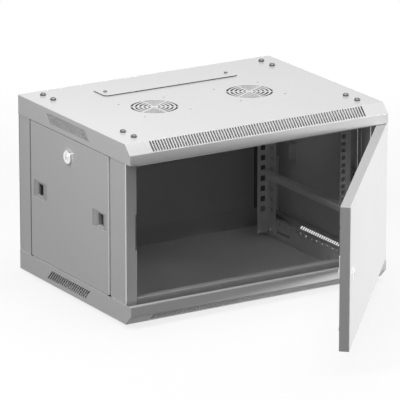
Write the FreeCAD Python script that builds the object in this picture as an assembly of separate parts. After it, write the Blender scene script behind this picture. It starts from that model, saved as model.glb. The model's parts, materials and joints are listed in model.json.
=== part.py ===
import FreeCAD, Part
import math
import os

# Wall-mount network cabinet: a sheet-steel frame between a roof cap and a floor cap, a swing door with a cam
# lock, two lift-off side panels with spring latches, and two sets of 19-inch rails that slide in depth.
# Frame: +X to the right of someone facing the door, +Y towards the wall, +Z up. The origin is the centre of
# the wall-bolt pattern, on the outer face of the back panel. All sizes are in millimetres.

# ---- 19-inch rack, and the cabinet around it
RACK_UNITS = 6
UNIT_HEIGHT = 44.45
RACK_HOLE_SPACING = 465.1
RACK_HOLE = 9.5
RACK_HOLE_EDGE = 7.25    # hole centre to the rail's inner edge
RACK_HOLE_RISES = (6.35, 22.225, 38.1)   # in each rack unit
RAIL_WIDTH = 25.7
SIDE_SPACE = 49.0        # rail to the side of the roof cap
OPENING_SPARE = 1.3      # door opening beyond the rack units
FRAME_BAND = 50.0        # closed band above and below the door opening
DEPTH = 450.0            # back panel to front lip

# ---- Sheet metal and clearances
SHEET = 1.5              # caps, posts and front members
SKIN = 1.2               # door, side panels and back panel
BAR_SHEET = 2.0          # depth bars, 19-inch rails and runners
BEND = 0.6               # inside radius of the frame's and rails' bends
PAN_BEND = 2.0           # outside radius round the door and the side panels
CLEAR = 0.3              # between parts that must not bind
POST_PLAY = 0.5          # posts stand this far inside the caps' flanges
RUN = 0.05               # radial clearance of a turning or threaded fit

# ---- Caps
CAP_HEIGHT = 40.0
LIP_CHAMFER = 20.0
LIP_RETURN = 11.0
LOUVRE_WIDTH = 3.8
LOUVRE_PITCH = 6.29
LOUVRE_LENGTH = 24.0
LOUVRE_MARGIN = 50.0     # end of the cap to the row of slots in the chamfer
VENT_COUNT = 20
VENT_PITCH = 7.87
VENT_WIDTH = 5.0         # measured along the flange
VENT_HEIGHT = 20.0
VENT_SLANT = 19.0
VENT_SHIFT = 22.0        # the row sits behind the middle of the cap

# ---- Fan grilles and cable entry
FAN_SPACING = 224.0
FAN_BOLT_SPACING = 105.0
FAN_BOLT_RADIUS = 2.2
GRILLE_RADIUS = 48.0
GRILLE_RINGS = 5
GRILLE_PITCH = 8.6
GRILLE_SLOT = 4.4
GRILLE_SPOKE = 4.0
GRILLE_SECTORS = 6
COVER_LENGTH = 316.0
COVER_WIDTH = 55.0
COVER_SHEET = 2.0
COVER_CORNER = 10.0
COVER_FROM_WALL = 82.0
COVER_LAP = 9.0          # cover over sheet, in front of and behind the cable entry
COVER_SCREW_INSET = 15.0
ENTRY_LAND = 9.0         # screw centre to the end of the entry
COVER_SCREW_RADIUS = 2.0
COVER_SCREW_LENGTH = 8.0
COVER_SCREW_HEAD = 2.2

# ---- Frame
FACE_WIDTH = 26.0        # front face of a post
FACE_RETURN = 23.0
FRONT_POST_DEPTH = 66.0
REAR_POST_DEPTH = 46.0
JOGGLE_DEPTH = 3.0       # shallow step before each side panel's front edge
JOGGLE_WIDTH = 11.0
BACK_FLANGE = 36.0
SEAT_WIDTH = 8.0         # flange that a side panel's edge bears on
MEMBER_FLANGE = 15.0
NOTCH_HEIGHT = 73.0      # in the lock-side post, where the lock cam turns
NOTCH_DEPTH = 4.5

# ---- Depth bars and cap bolts
BAR_WEB = 42.0
BAR_FLANGE = 23.7
BAR_LIP = 10.0
BAR_START_GAP = 1.0
BAR_REAR_GAP = 26.0      # outer face of the back panel to the end of the flange
BAR_REAR_RELIEF = 29.0   # the flange runs on this far beyond the web
BAR_HOLE_RADIUS = 3.5
BAR_HOLE_PITCH = 20.0
BAR_HOLE_DROP = 37.0     # row of holes, from the outer face of the cap
BAR_SLOT_DROP = 18.0
BOLT_RADIUS = 3.0
BOLT_HEAD_RADIUS = 6.0
BOLT_HEAD = 5.0
BOLT_NUT_FLATS = 10.0
BOLT_NUT = 5.0
BOLT_TAIL = 2.0          # shank beyond its nut
CAP_BOLT_FROM_WEB = 6.7
CAP_BOLT_END = 8.0       # end of the bar to the first bolt
CAP_BOLT_PAIR = 42.0

# ---- Rails
RAIL_DEPTH = 32.0
RAIL_END_GAP = 10.0      # rail to the outer faces of the caps
FRONT_RAIL_SET_BACK = 60.0
LEFT_SET_BACK = 45.0     # left front rail behind the right one
REAR_RAIL_FROM_WALL = 76.0
REAR_OPENING = 12.0      # square openings in the rear rails
RAIL_TRAVEL = 20.0       # each way
RAIL_SLOT_LENGTH = 13.0
RAIL_SLOT_HEIGHT = 8.0
RUNNER_TOP = -36.0
RUNNER_LEDGE = 18.0
RUNNER_LEG = 22.0
RUNNER_LIP = 5.0
RUNNER_END_GAP = 0.8
RUNNER_BOLT_DROP = 8.5
RUNNER_BOLT_RADIUS = 2.5
RUNNER_BOLT_HEAD = 2.5
RUNNER_NUT_FLATS = 8.0
RUNNER_NUT = 4.0

# ---- Door and hinge
DOOR_DEPTH = 20.0
DOOR_SET_BACK = 0.5      # behind the lip
DOOR_GAP = 1.5           # door to front members
DOOR_PLAY = 1.0          # door to caps
DOOR_SIDE_INSET = 2.0
DOOR_RIM = 15.0
DOOR_OPEN_ANGLE = 49.5
HINGE_INSET = 7.0        # hinge axis to the end of the cap
HINGE_PIN_RADIUS = 2.5
HINGE_PIN_HEAD = 2.0
HINGE_PIN_RIM = 0.4      # head beyond the shank, all round
HINGE_PIN_REACH = 4.0    # beyond the cap's tab
HINGE_BUSH_RADIUS = 4.0
HINGE_BUSH_FLANGE = 5.0
HINGE_TAB_WIDTH = 30.0
HINGE_TAB_DEPTH = 19.0
STIFFENER_WIDTH = 40.0
STIFFENER_FOOT = 12.0
STIFFENER_DEPTH = 14.0
STIFFENER_END_GAP = 3.0
BUMPER_RADIUS = 4.0
BUMPER_RISE = 100.0

# ---- Locks
DOOR_LOCK_INSET = 45.0   # free edge of the door to the lock
DOOR_BEZEL_RADIUS = 13.0
DOOR_BEZEL = 2.0
SIDE_BEZEL_RADIUS = 13.5
SIDE_BEZEL = 6.0
BEZEL_CHAMFER = 1.0
BARREL_RADIUS = 9.2
PLUG_RADIUS = 6.5
PLUG_HEAD = 1.0          # plug stands proud of its bezel
KEY_SLOT_WIDTH = 2.0
KEY_SLOT_LENGTH = 9.0
KEY_SLOT_DEPTH = 5.0
CAM_THICKNESS = 2.0
CAM_WIDTH = 16.0
CAM_SQUARE = 6.0
CAM_BEHIND = 0.8         # door lock's cam behind the post that it catches
DOOR_CAM_LENGTH = 34.0
SIDE_LOCK_DROP = 81.0    # from the top of the cabinet
SIDE_CAM_HOOK = 9.0      # cam behind the edge of the roof cap's sill
LOCK_NUT_FLATS = 24.0
LOCK_NUT = 3.0
LOCK_SCREW_RADIUS = 2.0
LOCK_SCREW_HEAD = 2.2
LOCK_SCREW_LENGTH = 6.0

# ---- Side panels and their latches
PANEL_FRONT_GAP = 1.0
PANEL_REAR_GAP = 2.0
PANEL_TOP_GAP = 2.0
PANEL_DEPTH = 12.7
LATCH_LENGTH = 54.0
LATCH_HEIGHT = 35.0
FRONT_LATCH_INSET = 36.5  # front post's step to the middle of the latch
REAR_LATCH_INSET = 41.5   # rear post's step to the middle of the latch
LATCH_RISE = 3.0         # above the middle of the cabinet
LATCH_GAP = 0.5
LATCH_RECESS = 1.5
LATCH_FLANGE = 2.0
LATCH_WALL = 1.5
LATCH_END_WALL = 2.0
WINDOW_LENGTH = 21.0
WINDOW_HEIGHT = 24.0
WINDOW_INSET = 14.5
WINDOW_BEVEL = 2.0
TONGUE_GAP = 1.5         # tongue's tip to the post's step
TONGUE_FREE = 1.0        # tongue to its seat when drawn back
TONGUE = 2.4
TONGUE_WIDTH = 16.0
SLIDER_DEPTH = 7.2
SLIDER_WIDTH = 28.0
SLIDER_LENGTH = 34.0
SLIDER_INSET = 1.5       # slider inside the bezel's outer end
RIB_INSET = 1.5          # rib inside the window
RIB_HEIGHT = 5.0
RIB_WIDTH = 4.0
SPRING_SHEET = 0.4
SPRING_LEGS = 5
SPRING_WIDTH = 5.0
SPRING_REACH = 8.0

# ---- Wall fixings and earth stud
WALL_HOLE_RADIUS = 4.5
WALL_HOLE_INSET = 18.0   # from the side of the cap
WALL_HOLE_RISE = 115.0   # above and below the middle
KEYHOLE_X = 200.0
KEYHOLE_FROM_TOP = 34.0
KEYHOLE_HEAD_RADIUS = 7.0
KEYHOLE_NECK_RADIUS = 4.0
KEYHOLE_DROP = 14.0
PANEL_EDGE_INSET = 1.0   # back panel inside the caps' outline
EARTH_FROM_SIDE = 100.0
EARTH_FROM_WALL = 40.0
EARTH_LENGTH = 18.0

# ---- Places worked out from the sizes above
RAIL_X = RACK_HOLE_SPACING / 2 - RACK_HOLE_EDGE + RAIL_WIDTH
RAIL_INNER_X = RAIL_X - BAR_SHEET
HALF_W = RAIL_X + SIDE_SPACE
HEIGHT = RACK_UNITS * UNIT_HEIGHT + OPENING_SPARE + 2 * FRAME_BAND
HALF_H = HEIGHT / 2
FRONT = -DEPTH
MID_Y = FRONT / 2
CAP_BACK = -SKIN
INNER_Z = HALF_H - SHEET
FLANGE_Z = HALF_H - CAP_HEIGHT
OPEN_Z = HALF_H - FRAME_BAND
CAP_INNER_X = HALF_W - SHEET
POST_X = CAP_INNER_X - POST_PLAY
FACE_X = POST_X - FACE_WIDTH
BODY_FRONT = FRONT + DOOR_SET_BACK + DOOR_DEPTH + DOOR_GAP
SEAT_X = POST_X - PANEL_DEPTH - CLEAR
SILL_X = SEAT_X - SHEET
FRONT_STEP = BODY_FRONT + FRONT_POST_DEPTH
REAR_STEP = -REAR_POST_DEPTH
COVER_SCREW_X = COVER_LENGTH / 2 - COVER_SCREW_INSET

RAIL_TOP = HALF_H - RAIL_END_GAP
RAIL_FRONT = FRONT + FRONT_RAIL_SET_BACK
RAIL_REAR = -REAR_RAIL_FROM_WALL
CLAMP_INSET = RAIL_DEPTH / 2
FRONT_CLAMP_Y = RAIL_FRONT + CLAMP_INSET
REAR_CLAMP_Y = RAIL_REAR - CLAMP_INSET
CLAMP_Z = HALF_H - BAR_SLOT_DROP
BAR_X = RAIL_X + CLEAR
BAR_START = BODY_FRONT + FACE_RETURN + BAR_START_GAP
BAR_END = -BAR_REAR_GAP
WEB_END = BAR_END - BAR_REAR_RELIEF
WEB_FOOT = INNER_Z - BAR_WEB
CAP_BOLT_X = BAR_X + BAR_SHEET + CAP_BOLT_FROM_WEB
CAP_BOLT_YS = (BAR_START + CAP_BOLT_END, BAR_START + CAP_BOLT_END + CAP_BOLT_PAIR,
               BAR_END - CAP_BOLT_END - CAP_BOLT_PAIR, BAR_END - CAP_BOLT_END)

DOOR_X = HALF_W - DOOR_SIDE_INSET
DOOR_Z = FLANGE_Z - DOOR_PLAY
DOOR_FACE = FRONT + DOOR_SET_BACK
DOOR_BACK = DOOR_FACE + DOOR_DEPTH
HINGE_X = HALF_W - HINGE_INSET
HINGE_Y = DOOR_FACE + DOOR_DEPTH / 2
DOOR_LOCK_X = -DOOR_X + DOOR_LOCK_INSET
DOOR_BARREL = BODY_FRONT + SHEET + CAM_BEHIND - CLEAR - DOOR_FACE

PANEL_FRONT = FRONT_STEP + PANEL_FRONT_GAP
PANEL_REAR = REAR_STEP - PANEL_REAR_GAP
PANEL_TOP = FLANGE_Z - PANEL_TOP_GAP
PANEL_BOTTOM = -FLANGE_Z + CLEAR
FRONT_LATCH_Y = FRONT_STEP + FRONT_LATCH_INSET
REAR_LATCH_Y = REAR_STEP - REAR_LATCH_INSET
LATCH_TRAVEL = SEAT_WIDTH - TONGUE_GAP + TONGUE_FREE
TONGUE_X = SILL_X - CLEAR
SLIDER_X = TONGUE_X - TONGUE
SLIDER_TOP = SLIDER_X + SLIDER_DEPTH
SIDE_LOCK_Y = (FRONT_LATCH_Y + REAR_LATCH_Y) / 2
SIDE_LOCK_Z = HALF_H - SIDE_LOCK_DROP
SIDE_BARREL = POST_X - SILL_X
SIDE_CAM_LENGTH = FLANGE_Z + SIDE_CAM_HOOK - SIDE_LOCK_Z
BACK_HOLE_X = HALF_W - WALL_HOLE_INSET
KEYHOLE_Z = HALF_H - KEYHOLE_FROM_TOP

SIDES = (-1, 1)          # left and right, or lower and upper
UP = FreeCAD.Vector(0, 0, 1)
ORIGIN = FreeCAD.Vector(0, 0, 0)

# ---- Planes that flat outlines are drawn in. Each matrix stands a drawing in XY up in its own plane.
PLAN = FreeCAD.Matrix()                                                  # drawn (x, y), extruded along z
SIDE = FreeCAD.Matrix(0, 0, 1, 0, 1, 0, 0, 0, 0, 1, 0, 0, 0, 0, 0, 1)       # drawn (y, z), along x
ELEVATION = FreeCAD.Matrix(1, 0, 0, 0, 0, 0, -1, 0, 0, 1, 0, 0, 0, 0, 0, 1)   # drawn (x, z), along -y


def vec(x, y, z=0.0):
    return FreeCAD.Vector(x, y, z)


def corner(before, point, after, radius):
    """Start, middle and end of the arc that rounds one corner of an outline."""
    way_in = (point - before).normalize()
    way_out = (after - point).normalize()
    half_turn = way_in.getAngle(way_out) / 2
    reach = radius * math.tan(half_turn)
    inward = (way_out - way_in).normalize()
    middle = point + inward * (radius / math.cos(half_turn) - radius)
    return point - way_in * reach, middle, point + way_out * reach


def path_edges(points, radii):
    """Straight runs through the points, with an arc at each inner point whose radius isn't zero."""
    edges = []
    start = points[0]
    for i in range(1, len(points)):
        end = points[i]
        if radii[i] > 0:
            arc_start, arc_mid, arc_end = corner(points[i - 1], end, points[i + 1], radii[i])
            edges.append(Part.makeLine(start, arc_start))
            edges.append(Part.Arc(arc_start, arc_mid, arc_end).toShape())
            start = arc_end
        else:
            edges.append(Part.makeLine(start, end))
            start = end
    return edges


def outline_face(points, radius=0.0):
    """A closed outline as a face, with every corner rounded to one radius."""
    loop = [vec(*p) for p in points]
    if radius == 0:
        return Part.Face(Part.makePolygon(loop + loop[:1]))
    middle = (loop[-1] + loop[0]) / 2
    radii = [0.0] + [radius] * len(loop) + [0.0]
    return Part.Face(Part.Wire(path_edges([middle] + loop + [middle], radii)))


def slot_face(start, end, radius):
    """A round-ended slot about the line between two points, as a face."""
    start, end = vec(*start), vec(*end)
    way = (end - start).normalize()
    side = vec(-way.y, way.x) * radius
    edges = [Part.makeLine(start - side, end - side),
             Part.Arc(end - side, end + way * radius, end + side).toShape(),
             Part.makeLine(end + side, start + side),
             Part.Arc(start + side, start - way * radius, start - side).toShape()]
    return Part.Face(Part.Wire(edges))


def strip_face(points, sheet):
    """Bent sheet seen on edge: its outer line, and the sheet's thickness to the right of that line."""
    line = [vec(*p) for p in points]
    ways = [(b - a).normalize() for a, b in zip(line, line[1:])]
    sides = [vec(w.y, -w.x) for w in ways]
    inner = [line[0] + sides[0] * sheet]
    outer_radii = [0.0]
    inner_radii = [0.0]
    for i in range(1, len(line) - 1):
        mitre = (sides[i - 1] + sides[i]) * (sheet / (1 + sides[i - 1].dot(sides[i])))
        inner.append(line[i] + mitre)
        turns_right = ways[i - 1].x * ways[i].y - ways[i - 1].y * ways[i].x < 0
        outer_radii.append(BEND + sheet if turns_right else BEND)
        inner_radii.append(BEND if turns_right else BEND + sheet)
    inner.append(line[-1] + sides[-1] * sheet)
    there = path_edges(line, outer_radii + [0.0])
    back = path_edges(inner[::-1], (inner_radii + [0.0])[::-1])
    far_end = Part.makeLine(line[-1], inner[-1])
    near_end = Part.makeLine(inner[0], line[0])
    return Part.Face(Part.Wire(there + [far_end] + back + [near_end]))


def stand(face, plane, low, high):
    """Extrude a flat outline between two coordinates along the axis that its plane leaves out."""
    if plane is ELEVATION:
        low, high = -high, -low
    face.translate(vec(0, 0, low))
    return face.extrude(vec(0, 0, high - low)).transformed(plane)


def span(a, b):
    return (min(a, b), max(a, b))


def box(x, y, z):
    """Box between two coordinates on each axis."""
    return Part.makeBox(x[1] - x[0], y[1] - y[0], z[1] - z[0], vec(x[0], y[0], z[0]))


def rod(centre, way, radius, length):
    return Part.makeCylinder(radius, length, centre, way)


def turned(points):
    """Solid of revolution about Z from its half-section, given as (radius, height) points."""
    loop = [vec(r, 0, h) for r, h in points]
    return Part.Face(Part.makePolygon(loop + loop[:1])).revolve(ORIGIN, UP, 360)


def aim(shape, centre, way):
    """Turn a shape that was made along +Z so that it points along a direction, and move it to a point."""
    return shape.transformed(FreeCAD.Placement(centre, FreeCAD.Rotation(UP, way)).toMatrix())


def mirror_x(shape):
    return shape.mirror(ORIGIN, vec(1, 0, 0))


def mirror_z(shape):
    return shape.mirror(ORIGIN, UP)


def save(name, shapes):
    shape = Part.makeCompound(shapes) if isinstance(shapes, list) else shapes
    shape.exportStep("parts/" + name + ".step")


def save_pair(name, right_shapes):
    """A right-hand part and its mirror image on the left."""
    shapes = right_shapes if isinstance(right_shapes, list) else [right_shapes]
    save("right_" + name, shapes)
    save("left_" + name, [mirror_x(s) for s in shapes])


# ---- Fasteners
def bolt(centre, way, radius, head_radius, head, length):
    """Dome-head bolt. Its head stands on the centre point, and its shank runs against the direction."""
    crown = head * 0.35
    body = turned([(0, -length), (radius, -length), (radius, 0), (head_radius, 0),
                   (head_radius, head - crown), (head_radius - crown, head), (0, head)])
    return aim(body, centre, way)


def hex_nut(centre, way, flats, length, bore):
    """Hexagon nut with its near face at the centre point."""
    radius = flats / 2 / math.cos(math.pi / 6)
    points = [(radius * math.cos(i * math.pi / 3), radius * math.sin(i * math.pi / 3)) for i in range(6)]
    nut = stand(outline_face(points), PLAN, 0, length).cut(rod(ORIGIN, UP, bore, length))
    return aim(nut, centre, way)


# ---- Caps, drawn as the roof
def cap_shell():
    """Pressed pan with side and back flanges, and a front lip under a chamfer."""
    lip_top = HALF_H - LIP_CHAMFER
    slope = SHEET * (math.sqrt(2) - 1)
    outer = [(FRONT, FLANGE_Z), (FRONT, lip_top), (FRONT + LIP_CHAMFER, HALF_H),
             (CAP_BACK, HALF_H), (CAP_BACK, FLANGE_Z)]
    inner = [(FRONT + SHEET, FLANGE_Z), (FRONT + SHEET, lip_top - slope),
             (FRONT + LIP_CHAMFER + slope, INNER_Z), (CAP_BACK - SHEET, INNER_Z),
             (CAP_BACK - SHEET, FLANGE_Z)]
    block = stand(outline_face(outer), SIDE, -HALF_W, HALF_W)
    open_edges = [e for e in block.Edges if max(v.Z for v in e.Vertexes) < FLANGE_Z + CLEAR]
    bends = [e for e in block.Edges if not any(e.isSame(o) for o in open_edges)]
    block = block.makeFillet(SHEET, bends)
    return block.cut(stand(outline_face(inner), SIDE, -CAP_INNER_X, CAP_INNER_X))


def louvre_cutters():
    """Row of slots through the chamfer of the lip."""
    count = int((2 * (HALF_W - LOUVRE_MARGIN) - LOUVRE_WIDTH) / LOUVRE_PITCH) + 1
    half_width, half_length = LOUVRE_WIDTH / 2, LOUVRE_LENGTH / 2
    slot = box((-half_width, half_width), (-half_length, half_length), (-2 * SHEET, 2 * SHEET))
    slot.rotate(ORIGIN, vec(1, 0, 0), 45)
    middle = LIP_CHAMFER / 2
    cutters = []
    for i in range(count):
        copy = slot.copy()
        copy.translate(vec((i - (count - 1) / 2) * LOUVRE_PITCH, FRONT + middle, HALF_H - middle))
        cutters.append(copy)
    return cutters


def vent_cutters():
    """Slanted slots through both side flanges, as one row on each."""
    low = HALF_H - CAP_HEIGHT / 2 - VENT_HEIGHT / 2
    high = low + VENT_HEIGHT
    cutters = []
    for i in range(VENT_COUNT):
        y = MID_Y + VENT_SHIFT + (i - (VENT_COUNT - 1) / 2) * VENT_PITCH
        foot = y - VENT_SLANT / 2 - VENT_WIDTH / 2
        head = foot + VENT_SLANT
        points = [(foot, low), (foot + VENT_WIDTH, low), (head + VENT_WIDTH, high), (head, high)]
        for side in SIDES:
            x = span(side * (CAP_INNER_X - CLEAR), side * (HALF_W + SHEET))
            cutters.append(stand(outline_face(points), SIDE, *x))
    return cutters


def sheet_hole(x, y, radius):
    """Cutter for a round hole through the roof sheet."""
    return rod(vec(x, y, INNER_Z - SHEET), UP, radius, 3 * SHEET)


def ring_slot(centre_x, inner, outer, first, last):
    """One curved slot of a fan grille, between two spokes of even width."""
    def at(radius, angle, inset):
        turn = angle + inset * math.asin(GRILLE_SPOKE / 2 / radius)
        return vec(centre_x + radius * math.cos(turn), MID_Y + radius * math.sin(turn))
    middle = (first + last) / 2
    edges = [Part.Arc(at(outer, first, 1), at(outer, middle, 0), at(outer, last, -1)).toShape(),
             Part.makeLine(at(outer, last, -1), at(inner, last, -1)),
             Part.Arc(at(inner, last, -1), at(inner, middle, 0), at(inner, first, 1)).toShape(),
             Part.makeLine(at(inner, first, 1), at(outer, first, 1))]
    return stand(Part.Face(Part.Wire(edges)), PLAN, INNER_Z - SHEET, HALF_H + SHEET)


def fan_cutters():
    """Two ring grilles, with the bolt holes of a fan around each."""
    cutters = []
    sector = 2 * math.pi / GRILLE_SECTORS
    for side in SIDES:
        x = side * FAN_SPACING / 2
        for ring in range(GRILLE_RINGS):
            outer = GRILLE_RADIUS - ring * GRILLE_PITCH
            for i in range(GRILLE_SECTORS):
                first = (i + 0.5) * sector
                cutters.append(ring_slot(x, outer - GRILLE_SLOT, outer, first, first + sector))
        for dx in SIDES:
            for dy in SIDES:
                place = (x + dx * FAN_BOLT_SPACING / 2, MID_Y + dy * FAN_BOLT_SPACING / 2)
                cutters.append(sheet_hole(*place, FAN_BOLT_RADIUS))
    return cutters


def entry_cutters():
    """Cable entry, with the two screw holes of its cover."""
    half = COVER_SCREW_X - ENTRY_LAND
    deep = COVER_WIDTH / 2 - COVER_LAP
    y = -COVER_FROM_WALL
    points = [(-half, y - deep), (half, y - deep), (half, y + deep), (-half, y + deep)]
    entry = stand(outline_face(points, COVER_CORNER / 2), PLAN, INNER_Z - SHEET, HALF_H + SHEET)
    return [entry] + [sheet_hole(s * COVER_SCREW_X, y, COVER_SCREW_RADIUS + RUN) for s in SIDES]


def cap_bolt_places():
    return [(side * CAP_BOLT_X, y) for side in SIDES for y in CAP_BOLT_YS]


def lip_return():
    """Flange turned in along the bottom of the lip, with a wider tab under the hinge."""
    level = (FLANGE_Z, FLANGE_Z + SHEET)
    strip = box((-CAP_INNER_X, CAP_INNER_X), (FRONT + SHEET, FRONT + LIP_RETURN), level)
    tab = box((HALF_W - HINGE_TAB_WIDTH, CAP_INNER_X), (FRONT + SHEET, FRONT + HINGE_TAB_DEPTH), level)
    hole = rod(vec(HINGE_X, HINGE_Y, FLANGE_Z - SHEET), UP, HINGE_BUSH_RADIUS + RUN, 4 * SHEET)
    return strip.fuse(tab).cut(hole)


def sill(side):
    """Flange turned in along the edge of a side flange, where a side panel's edge stands."""
    x = span(side * SILL_X, side * CAP_INNER_X)
    y = (FRONT_STEP + SEAT_WIDTH + CLEAR, REAR_STEP - SEAT_WIDTH - CLEAR)
    return box(x, y, (FLANGE_Z, FLANGE_Z + SHEET))


def plain_cap():
    """What the roof and floor caps share."""
    cap = cap_shell().fuse([lip_return()] + [sill(side) for side in SIDES])
    bolts = [sheet_hole(x, y, BOLT_RADIUS + CLEAR) for x, y in cap_bolt_places()]
    return cap.cut(louvre_cutters() + vent_cutters() + bolts)


def cable_cover():
    """Flat plate over the cable entry."""
    x, near, far = COVER_LENGTH / 2, -COVER_FROM_WALL - COVER_WIDTH / 2, -COVER_FROM_WALL + COVER_WIDTH / 2
    points = [(-x, near), (x, near), (x, far), (-x, far)]
    plate = stand(outline_face(points, COVER_CORNER), PLAN, HALF_H, HALF_H + COVER_SHEET)
    holes = [rod(vec(s * COVER_SCREW_X, -COVER_FROM_WALL, HALF_H - COVER_SHEET), UP,
                 COVER_SCREW_RADIUS + CLEAR, 3 * COVER_SHEET) for s in SIDES]
    return plate.cut(holes)


def cover_screws():
    return [bolt(vec(s * COVER_SCREW_X, -COVER_FROM_WALL, HALF_H + COVER_SHEET), UP,
                 COVER_SCREW_RADIUS, 2 * COVER_SCREW_RADIUS, COVER_SCREW_HEAD, COVER_SCREW_LENGTH)
            for s in SIDES]


def cap_bolts():
    length = SHEET + BAR_SHEET + BOLT_NUT + BOLT_TAIL
    return [bolt(vec(x, y, HALF_H), UP, BOLT_RADIUS, BOLT_HEAD_RADIUS, BOLT_HEAD, length)
            for x, y in cap_bolt_places()]


def cap_nuts():
    return [hex_nut(vec(x, y, INNER_Z - BAR_SHEET), -UP, BOLT_NUT_FLATS, BOLT_NUT, BOLT_RADIUS + RUN)
            for x, y in cap_bolt_places()]


def both_levels(shapes):
    return shapes + [mirror_z(s) for s in shapes]


def make_caps():
    cap = plain_cap()
    save("roof_cap", cap.cut(fan_cutters() + entry_cutters()))
    save("floor_cap", mirror_z(cap))
    save("cable_cover", cable_cover())
    save("cable_cover_screws", cover_screws())
    save("cap_bolts", both_levels(cap_bolts()))
    save("cap_nuts", both_levels(cap_nuts()))


# ---- Frame. Posts are drawn on the left.
def front_post():
    """Front post: inner return, face, side, a joggle, and a stepped seat for the side panel."""
    joggle_x = -POST_X + JOGGLE_DEPTH
    joggle_y = FRONT_STEP - JOGGLE_WIDTH
    line = [(-FACE_X, BODY_FRONT + FACE_RETURN), (-FACE_X, BODY_FRONT), (-POST_X, BODY_FRONT),
            (-POST_X, joggle_y), (joggle_x, joggle_y), (joggle_x, FRONT_STEP), (-SEAT_X, FRONT_STEP),
            (-SEAT_X, FRONT_STEP + SEAT_WIDTH)]
    return stand(strip_face(line, SHEET), PLAN, -INNER_Z, INNER_Z)


def lock_notch():
    """Gap in the lock-side post's inner edge for the turning lock cam."""
    return box((-FACE_X - NOTCH_DEPTH, -FACE_X + SHEET),
               (BODY_FRONT - SHEET, BODY_FRONT + FACE_RETURN + SHEET), (-NOTCH_HEIGHT / 2, NOTCH_HEIGHT / 2))


def wall_holes(side):
    """Cutters for the two wall-bolt holes near one side."""
    return [rod(vec(side * BACK_HOLE_X, -3 * SHEET - SKIN, level * WALL_HOLE_RISE), vec(0, 1, 0),
                WALL_HOLE_RADIUS, 6 * SHEET + SKIN) for level in SIDES]


def rear_post():
    """Rear post: stepped seat, side, and a back flange that stops short of the caps' back flanges."""
    line = [(-SEAT_X, REAR_STEP - SEAT_WIDTH), (-SEAT_X, REAR_STEP), (-POST_X, REAR_STEP),
            (-POST_X, CAP_BACK), (-POST_X + BACK_FLANGE, CAP_BACK)]
    post = stand(strip_face(line, SHEET), PLAN, -INNER_Z, INNER_Z)
    reliefs = [box((-HALF_W, -POST_X + BACK_FLANGE + SHEET), (CAP_BACK - SHEET - CLEAR, 0),
                   span(level * (FLANGE_Z - CLEAR), level * HALF_H)) for level in SIDES]
    return post.cut(reliefs + wall_holes(-1))


def keyhole(x):
    """Cutters of a hanging hole: a round hole for the screw's head, and a neck above it."""
    y = -2 * SKIN
    drawn = slot_face((x, KEYHOLE_Z - KEYHOLE_DROP), (x, KEYHOLE_Z), KEYHOLE_NECK_RADIUS)
    neck = stand(drawn, ELEVATION, y, -y)
    head = rod(vec(x, y, KEYHOLE_Z - KEYHOLE_DROP), vec(0, 1, 0), KEYHOLE_HEAD_RADIUS, -2 * y)
    return [neck, head]


def back_panel():
    edge_z = HALF_H - PANEL_EDGE_INSET
    cutters = [c for side in SIDES for c in wall_holes(side) + keyhole(side * KEYHOLE_X)]
    return box((-POST_X, POST_X), (-SKIN, 0), (-edge_z, edge_z)).cut(cutters)


def front_member():
    """Channel that closes the front above the door opening."""
    flange = BODY_FRONT + MEMBER_FLANGE
    line = [(flange, OPEN_Z), (BODY_FRONT, OPEN_Z), (BODY_FRONT, INNER_Z), (flange, INNER_Z)]
    return stand(strip_face(line, SHEET), SIDE, -FACE_X, FACE_X)


def earth_stud():
    """Welded stud with a washer and a nut, for the cabinet's earth lead."""
    foot = vec(EARTH_FROM_SIDE - HALF_W, -EARTH_FROM_WALL, -INNER_Z)
    stud = turned([(0, 0), (2 * BOLT_RADIUS, 0), (2 * BOLT_RADIUS, SHEET), (BOLT_RADIUS, SHEET),
                   (BOLT_RADIUS, EARTH_LENGTH), (0, EARTH_LENGTH)])
    bore = BOLT_RADIUS + RUN
    washer = turned([(bore, SHEET), (2 * BOLT_RADIUS, SHEET), (2 * BOLT_RADIUS, 2 * SHEET),
                     (bore, 2 * SHEET)])
    nut = hex_nut(foot + vec(0, 0, 2 * SHEET), UP, BOLT_NUT_FLATS, BOLT_NUT, bore)
    return [aim(stud, foot, UP), aim(washer, foot, UP), nut]


def make_frame():
    post = front_post()
    save("left_front_post", post.cut(lock_notch()))
    save("right_front_post", mirror_x(post))
    post = rear_post()
    save("left_rear_post", post)
    save("right_rear_post", mirror_x(post))
    save("upper_front_member", front_member())
    save("lower_front_member", mirror_z(front_member()))
    save("back_panel", back_panel())
    save("earth_stud", earth_stud())


# ---- Depth bars, drawn at the upper right
def bar_holes():
    """Row of accessory holes and the two clamp slots in a bar's web."""
    x = BAR_X - BAR_SHEET
    first = BAR_START + BAR_HOLE_PITCH
    count = int((WEB_END - BAR_HOLE_PITCH / 2 - first) / BAR_HOLE_PITCH) + 1
    cutters = [rod(vec(x, first + i * BAR_HOLE_PITCH, HALF_H - BAR_HOLE_DROP), vec(1, 0, 0),
                   BAR_HOLE_RADIUS, 3 * BAR_SHEET) for i in range(count)]
    for start, end in ((FRONT_CLAMP_Y - RAIL_TRAVEL, FRONT_CLAMP_Y + LEFT_SET_BACK + RAIL_TRAVEL),
                       (REAR_CLAMP_Y - LEFT_SET_BACK - RAIL_TRAVEL, REAR_CLAMP_Y + RAIL_TRAVEL)):
        drawn = slot_face((start, CLAMP_Z), (end, CLAMP_Z), BOLT_RADIUS + CLEAR)
        cutters.append(stand(drawn, SIDE, x, x + 3 * BAR_SHEET))
    return cutters


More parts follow.
